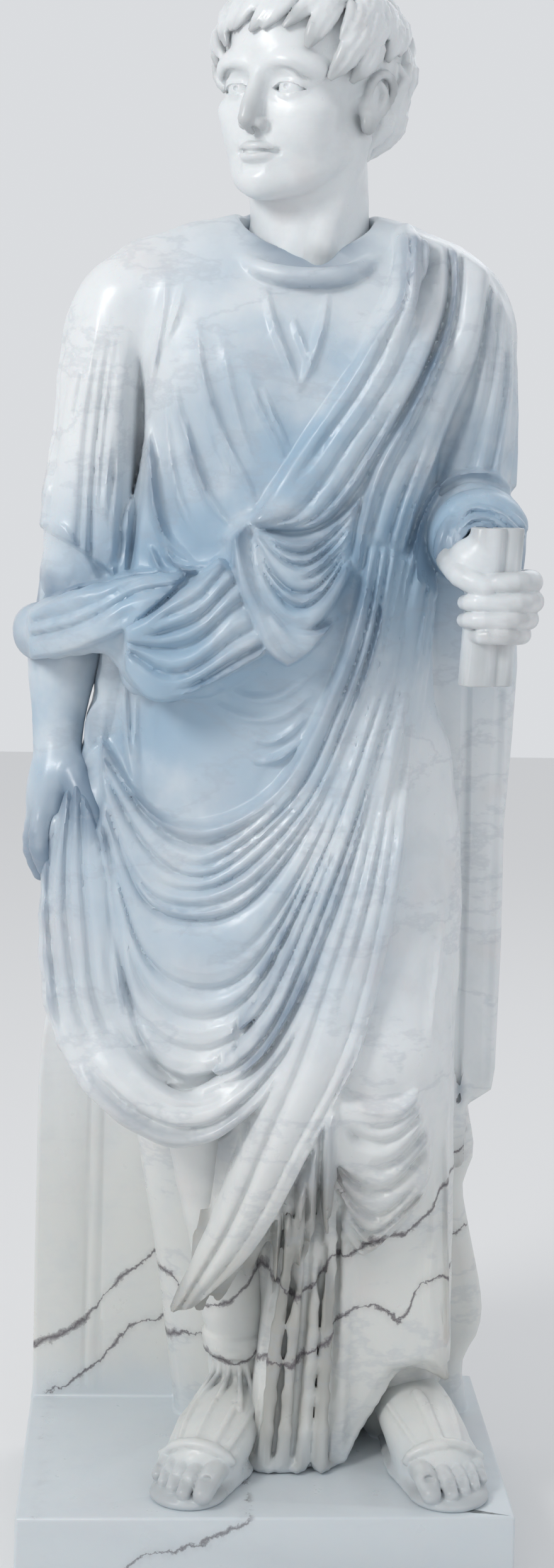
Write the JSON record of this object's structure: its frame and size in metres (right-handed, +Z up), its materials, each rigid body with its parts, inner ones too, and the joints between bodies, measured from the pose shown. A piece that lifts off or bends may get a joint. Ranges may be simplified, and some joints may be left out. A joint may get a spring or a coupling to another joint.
{
  "type": "classical marble statue",
  "caption": "Life-size standing marble figure in tunic and draped toga, one fist closed on a scroll, carved in one block with its plinth and rear supports.",
  "frame": {"origin": "centre of the rectangular plinth's flat underside", "axes": "+Z up; the figure faces -Y; +X to the right of somebody who looks at its front"},
  "size_m": [0.5999, 0.4512, 1.8684],
  "materials": {
    "marble": "polished pale blue-grey marble with thin dark veins"
  },
  "bodies": {
    "root": {"statue": "marble"}
  },
  "joints": []
}
